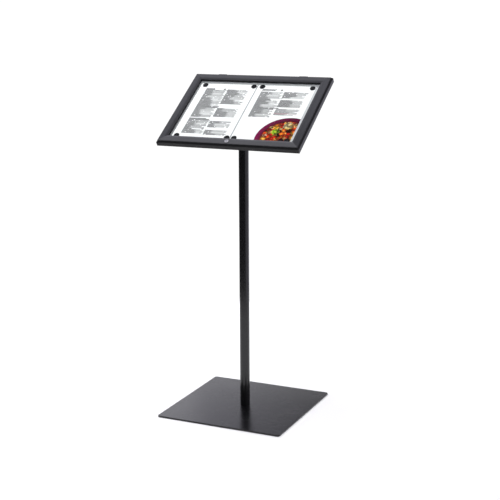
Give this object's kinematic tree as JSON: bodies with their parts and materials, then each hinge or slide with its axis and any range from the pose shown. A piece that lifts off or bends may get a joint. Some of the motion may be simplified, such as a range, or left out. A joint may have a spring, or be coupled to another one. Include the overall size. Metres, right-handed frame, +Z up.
{
  "type": "sign stand",
  "caption": "Floor-standing sign holder: lockable glazed notice case for two sheets side by side, tilted on a round pole and a square steel base.",
  "frame": {"origin": "on the floor, on the pole's axis, at the centre of the square base", "axes": "+Z up the pole; -Y towards the reader; +X to the reader's right; the case's face leans 34 degrees from the horizontal towards -Y"},
  "size_m": [0.5084, 0.45, 1.1332],
  "materials": {
    "base_coat": "dark grey fine-textured powder coat, satin",
    "pole_coat": "near-black powder coat, semi-gloss",
    "frame_grey": "anthracite grey coated aluminium extrusion, satin",
    "cover_grey": "anthracite grey coated sheet, satin",
    "key_aluminium": "mill finish",
    "zinc_steel": "bright zinc plated",
    "lock_chrome": "polished chrome plate",
    "black_rubber": "matt black rubber",
    "panel_white": "off-white enamelled steel sheet",
    "core_plastic": "rigid board",
    "clear_glazing": "clear, polished",
    "magnet_black": "black plastic cap, semi-gloss",
    "printed_sheet": "matt white print paper"
  },
  "bodies": {
    "stand": {"base_plate": "base_coat", "base_pads": "black_rubber", "base_screw": "zinc_steel", "pole_foot_plug": "zinc_steel", "pole_tube": "pole_coat", "head_plate": "pole_coat", "head_packer": "pole_coat", "head_washers": "zinc_steel", "head_screws": "zinc_steel", "head_inserts": "zinc_steel", "case_rail_top": "frame_grey", "case_rail_bottom": "frame_grey", "case_rail_left": "frame_grey", "case_rail_right": "frame_grey", "case_corner_keys": "key_aluminium", "case_seal": "black_rubber", "magnet_panel": "panel_white", "core_board": "core_plastic", "rear_cover": "cover_grey", "hinge_leaf_case": "frame_grey", "hinge_pins": "zinc_steel", "hinge_screws": "zinc_steel", "sheet_left": "printed_sheet", "sheet_right": "printed_sheet", "sheet_magnets": "magnet_black"},
    "door": {"door_rail_top": "frame_grey", "door_rail_bottom": "frame_grey", "door_rail_left": "frame_grey", "door_rail_right": "frame_grey", "door_corner_keys": "key_aluminium", "door_glazing": "clear_glazing", "glazing_seal": "black_rubber", "lock_barrel": "lock_chrome", "hinge_leaf_door": "frame_grey"},
    "lock": {"lock_plug": "lock_chrome", "lock_cam": "zinc_steel", "cam_retaining_ring": "zinc_steel"}
  },
  "joints": [
    {"name": "door_hinge", "type": "hinge", "parent": "stand", "child": "door", "pos_m": [0, 0.16538, 1.12737], "axis": [-1, 0, 0], "range_deg": [0, 110]},
    {"name": "lock_turn", "type": "hinge", "parent": "door", "child": "lock", "pos_m": [0, -0.13078, 0.94063], "axis": [0, 0.5592, -0.829], "range_deg": [0, 90]}
  ]
}
